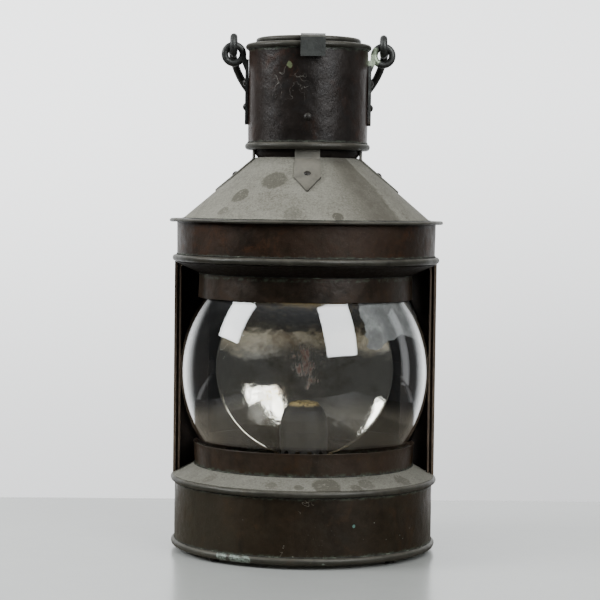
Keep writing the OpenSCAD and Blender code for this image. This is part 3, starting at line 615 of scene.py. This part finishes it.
def turn(name, profile, mat, body="lantern", replaces=(), segs=320, start=0.0, sweep=360.0, step=8.0,
         amp=0.0, scale=0.02, seed=0.0, zamp=0.0):
    """Revolves a closed section, (r, z) in mm, about the lantern's axis.

    It is made uneven by amp mm in radius and zamp mm in height."""
    prof = dense(profile, step)
    k = len(prof)
    full = sweep == 360
    rings = segs if full else segs + 1
    verts = []
    for i in range(rings):
        t = math.radians(start + sweep * i / segs)
        c, s = math.cos(t), math.sin(t)
        for r, z in prof:
            x, y = r * c, r * s
            d = amp * fbm(x * scale + seed, y * scale, z * scale * 1.3, 3) if amp else 0.0
            dz = zamp * fbm(x * scale * 0.6 + seed + 9, y * scale * 0.6, 0.0, 2) if zamp else 0.0
            verts.append(((r + d) * c * MM, (r + d) * s * MM, (z + dz) * MM))
    faces = ring_faces(segs, rings, k)
    if not full:
        faces.append(tuple(range(k))[::-1])
        faces.append(tuple(segs * k + q for q in range(k)))
    return piece(name, verts, faces, mat, body, replaces)


def circle(rc, zc, d, n=22):
    """A round section of diameter d about (rc, zc)."""
    angles = [2 * math.pi * i / n for i in range(n)]
    return [(rc + d / 2 * math.cos(a), zc + d / 2 * math.sin(a)) for a in angles]


def sheet(points, t):
    """A thin section, t thick, on the left of the open line through the points (r, z)."""
    n = len(points)
    out = []
    for i in range(n):
        p = Vector(points[i])
        before = p - Vector(points[max(i - 1, 0)])
        after = Vector(points[min(i + 1, n - 1)]) - p
        a = before.normalized() if before.length else after.normalized()
        b = after.normalized() if after.length else a
        na, nb = Vector((-a.y, a.x)), Vector((-b.y, b.x))
        out.append(tuple(p + (na + nb) / (1 + na.dot(nb)) * t))
    return list(points) + out[::-1]


def rolled_edge(name, node, r, z, d, seed, mat, amp, scale=0.06, segs=320, zamp=0.0, body="lantern"):
    """The edge of a sheet rolled over a wire, d across, round the axis at radius r and height z."""
    turn(name, circle(r, z, d), mat, body, (node,), segs=segs, step=WHOLE, amp=amp, scale=scale,
         seed=seed, zamp=zamp)


# ---------------------------------------------------------------- the body of the lantern, sizes in mm
def base():
    """The drum with its two rolled edges, and the dished deck with the lower glass collar."""
    deck = [(130.4 - 21.7 * u, 74.75 + 10.25 * (21.9 / 22.1 * u) ** 1.2) for u in spread(0, 1, 8)]
    turn("drum_band", [(128.3, 9.5), (128.3, 70), (127.3, 70), (127.3, 9.5)], M_BAND,
         replaces=("base_band",), amp=0.55, scale=0.022, seed=2, step=6)
    rolled_edge("drum_edge", "base_bead", 127.9, 7.5, 7, 5, M_BEAD_LOW, 0.5, scale=0.05)
    rolled_edge("shoulder_edge", "shoulder_bead", 129.05, 71, 6.5, 8, M_BEAD, 0.5, scale=0.05, zamp=0.5)
    turn("shoulder_sheet", sheet(deck, 1.0), M_DECK, replaces=("shoulder_deck",), amp=0.3,
         scale=0.03, seed=11, step=5)
    low = [(108.5, 84), (109.8, 105.8), (110.3, 106.6), (110.0, 107), (109.2, 106.8), (107.6, 84)]
    turn("glass_collar_low", low, M_COLLAR, replaces=("lower_collar",), amp=0.45, scale=0.03,
         seed=14, step=6)


def roof():
    """The upper glass collar, the soffit, the upper band with its edge and brim, and the cone."""
    high = [(105.7, 275.8), (105.75, 274), (106.6, 250.3), (106.2, 250), (105.7, 250.3), (104.8, 274),
            (99, 275), (99, 276)]
    turn("glass_collar_high", high, M_COLLAR, replaces=("upper_collar",), amp=0.4, scale=0.03,
         seed=17, step=6)
    turn("soffit_sheet", sheet([(105.8, 274.1), (116, 278.6), (129.3, 284.8)], 0.9), M_SOOT,
         replaces=("soffit",), amp=0.3, scale=0.03, seed=19, step=6)
    rolled_edge("band_edge", "band_bead", 129.35, 289, 6.5, 22, M_BEAD, 0.5, scale=0.05, zamp=0.4)
    band = [(128.0, 289.5), (128.1, 300), (128.6, 324.4), (127.6, 324.4), (127.1, 300), (127.0, 289.5)]
    turn("roof_band", band, M_UPPER, replaces=("upper_band",), amp=0.5, scale=0.022, seed=25,
         step=6)
    brim = [(120.6, 324.6), (134.2, 324.6), (135.3, 325.0), (135.85, 326.2), (135.3, 327.4), (134.2, 328.0),
            (120.6, 328.0)]
    turn("roof_brim", brim, M_BEAD, replaces=("brim",), amp=0.14, scale=0.05, seed=28, step=7,
         zamp=0.35)
    turn("roof_sheet", [(122.6, 328.2), (51.0, 388.8), (49.6, 388.4), (121.2, 328.2)], M_ROOF,
         replaces=("roof_cone",), amp=0.7, scale=0.02, seed=31, step=6)


def cowl():
    """The cowl with its two rolled edges."""
    turn("cowl_sheet", [(59.2, 402), (59.2, 497), (58.2, 497), (58.2, 402)], M_COWL,
         replaces=("cowl_tube",), amp=0.5, scale=0.03, seed=34, step=5, segs=240)
    rolled_edge("cowl_edge_low", "cowl_lower_bead", 58.6, 400, 7, 37, M_BEAD, 0.35, segs=240)
    rolled_edge("cowl_edge_high", "cowl_upper_bead", 59.3, 498, 6, 40, M_BEAD, 0.3, segs=240)


def lid():
    """The crowned lid, the skirt inside the cowl and the lid's rolled edge."""
    rim_r, rise = 46.9, 2.6
    radii = [rim_r - 46.8 * i / 10 for i in range(11)]
    crown = [(48.8, 506.1)] + [(r, 506.4 + rise * (1 - (r / 47) ** 2)) for r in radii]
    turn("lid_sheet", sheet(crown, 0.9), M_LID, "lid", ("lid",), amp=0.25, scale=0.05, seed=43,
         step=5, segs=200)
    turn("lid_skirt", [(45, 495.5), (45, 505.6), (44, 505.6), (44, 495.5)], M_SOOT, "lid",
         segs=160, step=9)
    rolled_edge("lid_edge", "lid_bead", 49, 504, 6, 46, M_BEAD, 0.3, segs=200, body="lid")


def neck():
    """The dark wall in the vent gap between the cone and the cowl."""
    wall = [(48.4, 383.2), (48.4, 390), (50.9, 393), (51.2, 403), (51.6, 425), (52.6, 425), (52.4, 403),
            (51.9, 392.6), (49.4, 389.4), (49.4, 383.2)]
    turn("neck_wall", wall, M_SOOT, replaces=("neck_tube",), segs=160, amp=0.2, scale=0.04,
         seed=49, step=6)


def joint_lines():
    """Thin lines of solder and verdigris in the joints: (radius, height, thickness)."""
    lines = ((128.5, 11.3, 1.1), (128.45, 66.9, 0.8), (109.3, 85.1, 1.2), (106.1, 273.6, 0.9),
             (128.4, 293.0, 1.0), (122.9, 328.3, 1.0), (59.35, 403.9, 1.1), (59.35, 494.7, 0.9))
    for i, (r, z, d) in enumerate(lines):
        turn(f"joint_line_{i}", circle(r, z, d, 8), M_JOINT, segs=260, amp=0.5, scale=0.12,
             seed=50 + i * 3, step=WHOLE, zamp=0.3)


# ---------------------------------------------------------------- glass, reflector, film, sizes in mm
BELLY_R = 123.3                                   # the glass at its widest
BOW_R = 154.2                                     # the curve of its side, seen from the side
BELLY_Z = 177.5
DISH_R, DISH_DEPTH = 89.0, 32.0
DISH_Y, DISH_Z = 30, 177                          # the plane of the dish's rim, and its middle
DISH_SHEET = 0.8


def barrel(off, z):
    """Radius at height z of a face off mm outside the glass's outer face."""
    return BELLY_R - BOW_R + math.sqrt((BOW_R + off) ** 2 - (z - BELLY_Z) ** 2)


def lens():
    """The barrel glass: a bowed wall between two straight necks, open at the back."""
    outer = [(104, 84.9), (104, 102.2)] + [(barrel(0, z), z) for z in spread(103.2, 251.8, 48)]
    outer += [(104, 252.8), (104, 274.6)]
    inner = [(100, 274.6), (100, 251.4)] + [(barrel(-4, z), z) for z in spread(104.5, 250.5, 48)[::-1]]
    inner += [(100, 103.6), (100, 84.9)]
    turn("lens_barrel", outer + inner, M_GLASS, replaces=("barrel_glass",), segs=220, start=170,
         sweep=200, step=WHOLE)


def mirror_dish():
    """The slightly beaten dish of the reflector, and its wired rim."""
    segs = 200
    curve = (DISH_R ** 2 + DISH_DEPTH ** 2) / (2 * DISH_DEPTH)
    radii = [DISH_R * i / 32 for i in range(33)]
    face = [(r, DISH_DEPTH - curve + math.sqrt(curve * curve - r * r)) for r in radii]
    prof = face + [(r, h + DISH_SHEET) for r, h in reversed(face)]
    verts = []
    for i in range(segs):
        t = 2 * math.pi * i / segs
        for r, h in prof:
            x, up = r * math.cos(t), r * math.sin(t)
            d = 0.25 * fbm(x * 0.03 + 3, up * 0.03, 0.0, 3) * min(1, (DISH_R + 0.5 - r) / 20)
            verts.append((x * MM, (DISH_Y + h + d) * MM, (DISH_Z + up) * MM))
    piece("reflector_dish", verts, ring_faces(segs, segs, len(prof)), M_SILVER,
          replaces=("reflector",), weld=True)

    round_points, wire_r = 14, 1.5
    verts = []
    for i in range(segs):
        t = 2 * math.pi * i / segs
        for q in range(round_points):
            a = 2 * math.pi * q / round_points
            r = DISH_R + 0.6 + wire_r * math.cos(a)
            verts.append((r * math.cos(t) * MM, (DISH_Y + wire_r * math.sin(a)) * MM,
                          (DISH_Z + r * math.sin(t)) * MM))
    piece("reflector_rim", verts, ring_faces(segs, segs, round_points), M_SILVER)


def film_patch():
    """A ragged sheet of film on the inside of the glass, high on the right."""
    across, up = 150, 120                         # cells of the grid that the patch is cut from
    first_a, span_a = 18, 74                      # degrees right of the front
    first_z, span_z = 190, 59.5
    thick = 0.00012
    verts, index, faces = [], {}, []

    def place(i, j):
        return first_a + span_a * i / across, first_z + span_z * j / up

    def kept(a, z):
        low = 214 - 7 * math.sin(max(0, a - 26) * 0.16) + 9 * fbm(a * 0.09, z * 0.06, 2.0, 4) - 0.05 * (a - 30)
        left = 28.5 + (250 - z) * 0.05 + 5 * fbm(a * 0.05, z * 0.12, 7.0, 4)
        return z > low and a > left

    def point(i, j):
        if (i, j) not in index:
            a, z = place(i, j)
            r, t = barrel(-4.2, z), math.radians(a - 90)
            index[i, j] = len(verts)
            verts.append((r * math.cos(t) * MM, r * math.sin(t) * MM, z * MM))
        return index[i, j]

    for i in range(across):
        for j in range(up):
            if kept(*place(i + 0.5, j + 0.5)):
                faces.append((point(i, j), point(i + 1, j), point(i + 1, j + 1), point(i, j + 1)))
    o = piece("peeled_film", verts, faces, M_FILM, closed=False)
    s = o.modifiers.new("thickness", "SOLIDIFY")
    s.thickness = thick
    s.offset = 0


base()
roof()
cowl()
lid()
neck()
joint_lines()
lens()
mirror_dish()
film_patch()

# ---------------------------------------------------------------- materials of the carried-over CAD nodes
NODE_MATERIALS = {
    M_SOOT: ["glass_end_left", "glass_end_right", "neck_tube", "smoke_baffle", "font_tray", "stay_left",
             "stay_right", "cowl_top"],
    M_FLOOR: ["bottom_plate"],
    M_POST: ["post_left", "post_right"],
    M_PUTTY: ["glass_gaskets"],
    M_STRAP: ["strap_front", "strap_rear", "strap_left", "strap_right"],
    M_CATCH: ["door_leaves", "shell_leaves", "lid_catch", "lid_leaf", "cowl_leaf", "latch_button"],
    M_RIVET: ["feet", "strap_rivets", "cowl_rivets", "eye_rivets", "leaf_rivets", "latch_stud", "door_pull"],
    M_IRON: ["eye_left", "bail", "lid_pin", "door_pins"],
    M_EYE_R: ["eye_right"],
    M_SHELL: ["rear_shell", "rear_door"],
    M_BRASS: ["oil_font", "filler_cap", "wick_tube", "winder"],
    M_BURNER: ["burner"],
    M_COTTON: ["wick"],
}
for material, names in NODE_MATERIALS.items():
    for node in names:
        give(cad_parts[node], material)


# ---------------------------------------------------------------- table and floor, in metres
def stage_plane(name, corners, color, rough, nscale, var, painted_fade=False):
    """A flat, slightly mottled part of the table or floor; painted_fade adds painted shade, darker to the
    front and the sides.
    """
    me = bpy.data.meshes.new(name)
    me.from_pydata(corners, [], [(0, 1, 2, 3)])
    o = bpy.data.objects.new(name, me)
    col.objects.link(o)
    m = Mat(name)
    mottle = m.weigh(m.noise(nscale, 6, 0.65), 0.7, m.noise(nscale * 14, 5, 0.7), 0.3)
    c = m.mix(mottle, shade(color, 1 - var), shade(color, 1 + var))
    # painted shade, falling off to near black at the front and the sides
    if painted_fade:
        sides = m.mul(m.step(m.x, -0.60, -0.24), m.step(m.x, 0.24, 0.60, 1.0, 0.0))
        c = m.mix(m.mul(m.step(m.y, -0.52, -0.24), sides), (0.012, 0.011, 0.010), c)
    m.set(color=c, rough=rough, spec=0.4)
    give(o, m)
    return o


def table():
    """The table, its rear edge, the floor that goes on round it, and what the mirror sees of it."""
    edge = 0.322                                  # where the table ends behind the lantern
    askew = 0.014                                 # it stands a little askew: this much over its half width
    half, front, far, drop = 0.37, -0.42, 3, -0.05
    far_askew = askew * far / half
    pale = (0.47, 0.485, 0.465)
    o = stage_plane("table_top", [(-half, front, 0), (half, front, 0), (half, edge + askew, 0),
                                  (-half, edge - askew, 0)], pale, 0.22, 6, 0.10)
    o.visible_glossy = o.visible_transmission = o.visible_shadow = False
    # what the mirror and the glass see of the table: a darker, tan copy just under it, lit through it, whose
    # darkness is painted shade
    wide, near, under = 0.62, -0.64, -0.0004
    o = stage_plane("table_seen", [(-wide, near, under), (wide, near, under), (wide, edge, under),
                                   (-wide, edge, under)], (0.32, 0.28, 0.215), 0.6, 6, 0.10, painted_fade=True)
    o.visible_camera = o.visible_diffuse = o.visible_shadow = False
    stage_plane("table_rear", [(-far, edge - far_askew, 0), (far, edge + far_askew, 0),
                               (far, edge + far_askew, drop), (-far, edge - far_askew, drop)],
                (0.5, 0.5, 0.5), 0.6, 6, 0.05)
    # the floor goes on round the table for the other views, and stays out of the reflections
    left = [(-far, front, 0), (-half, front, 0), (-half, edge - askew, 0), (-far, edge - far_askew, 0)]
    right = [(half, front, 0), (far, front, 0), (far, edge + far_askew, 0), (half, edge + askew, 0)]
    before = [(-far, -far, 0), (far, -far, 0), (far, front, 0), (-far, front, 0)]
    for i, corners in enumerate((left, right, before)):
        o = stage_plane(f"table_more_{i}", corners, pale, 0.30, 6, 0.10)
        o.visible_glossy = o.visible_transmission = o.visible_diffuse = o.visible_shadow = False


# ---------------------------------------------------------------- lights
def area(name, at, target, w, h, power, color):
    """An area light, w by h metres, that the camera doesn't see."""
    light = bpy.data.lights.new(name, "AREA")
    light.shape = "RECTANGLE"
    light.size, light.size_y = w, h
    light.energy = power
    light.color = color
    o = bpy.data.objects.new(name, light)
    col.objects.link(o)
    o.location = at
    o.rotation_mode = "QUATERNION"
    o.rotation_quaternion = (Vector(target) - Vector(at)).to_track_quat("-Z", "Y")
    o.visible_camera = False
    return o


def sky(az, el, dist):
    """A place seen from the glass at azimuth az right of the front and el above the level, in degrees."""
    a, e = math.radians(az), math.radians(el)
    return (math.sin(a) * math.cos(e) * dist, -math.cos(a) * math.cos(e) * dist, 0.2 + math.sin(e) * dist)


def window(name, az, el, dist, w, h, power, shine):
    """Two lights in one place: power is the light that it sheds, shine how bright it looks in the glass."""
    lantern_middle, daylight = (0, 0, 0.22), (0.96, 0.98, 1.0)
    if power:
        shed = area(name, sky(az, el, dist), lantern_middle, w, h, power, daylight)
        shed.visible_glossy = shed.visible_transmission = False
    seen = area(name + "_seen", sky(az, el, dist - 0.02), lantern_middle, w, h, shine, daylight)
    seen.visible_diffuse = False


def lights():
    window("window_left", -79, 30, 2.2, 0.93, 1.05, 46, 45)
    window("window_right", 35, 31, 2.4, 1.20, 1.60, 38, 70)
    window("doorway", 106, 9, 2.4, 0.42, 1.5, 0, 1.6)
    top = area("ceiling", (0.0, -0.2, 2.6), (0, 0, 0), 2.6, 2.2, 26, (1.0, 0.99, 0.97))
    top.visible_glossy = top.visible_transmission = False


def surroundings():
    """What lights the lantern from all round, and the pale wall that the camera sees behind it."""
    world = bpy.data.worlds.new("World")
    bpy.context.scene.world = world
    world.use_nodes = True
    tree = world.node_tree
    tree.nodes.clear()

    def new(kind):
        return tree.nodes.new("ShaderNode" + kind)

    def step(v, lo, hi, to0, to1):
        n = new("MapRange")
        n.interpolation_type = "SMOOTHSTEP"
        tree.links.new(v, n.inputs[0])
        for i, q in enumerate((lo, hi, to0, to1)):
            n.inputs[i + 1].default_value = q
        return n.outputs[0]

    def add(a, b):
        n = new("Math")
        n.operation = "ADD"
        tree.links.new(a, n.inputs[0])
        tree.links.new(b, n.inputs[1])
        return n.outputs[0]

    def light_from(strength, color):
        n = new("Background")
        n.inputs[0].default_value = (*color, 1)
        tree.links.new(strength, n.inputs[1])
        return n.outputs[0]

    place, split, path, mixed, out = (new(k) for k in ("TexCoord", "SeparateXYZ", "LightPath", "MixShader",
                                                       "OutputWorld"))
    tree.links.new(place.outputs["Generated"], split.inputs[0])
    x, y, z = split.outputs
    # a pale wall behind, a lighter ceiling, a dim room in front
    room = add(step(y, 0.56, 0.84, 0.065, 2.0), step(z, 0.42, 0.95, 0.0, 0.42))
    # the wall that the camera sees is painted brighter towards the top and the left: painted light falling on
    # it
    wall = add(step(z, -0.17, 0.08, 1.22, 2.65), step(x, -0.16, 0.16, 0.42, 0.0))
    tree.links.new(path.outputs["Is Camera Ray"], mixed.inputs[0])
    tree.links.new(light_from(room, (0.97, 0.99, 1.0)), mixed.inputs[1])
    tree.links.new(light_from(wall, (0.975, 0.99, 1.0)), mixed.inputs[2])
    tree.links.new(mixed.outputs[0], out.inputs[0])


# ---------------------------------------------------------------- camera
def camera():
    """Straight in front and a little above, looking slightly down."""
    distance, pitch, roll = 2.011, 2.81, 0.74     # metres, degrees
    seen_width = 0.6 / 1.004                      # what the picture is wide at the lantern, in metres
    data = bpy.data.cameras.new("Camera")
    o = bpy.data.objects.new("Camera", data)
    col.objects.link(o)
    bpy.context.scene.camera = o
    o.location = (-0.0054, -distance, 0.3465)
    data.sensor_width = 36
    data.lens = data.sensor_width * distance / seen_width
    data.clip_start, data.clip_end = 0.05, 60
    o.rotation_mode = "QUATERNION"
    aim = Matrix.Rotation(math.radians(90 - pitch), 4, "X") @ Matrix.Rotation(math.radians(roll), 4, "Z")
    o.rotation_quaternion = aim.to_quaternion()


table()
lights()
surroundings()
camera()
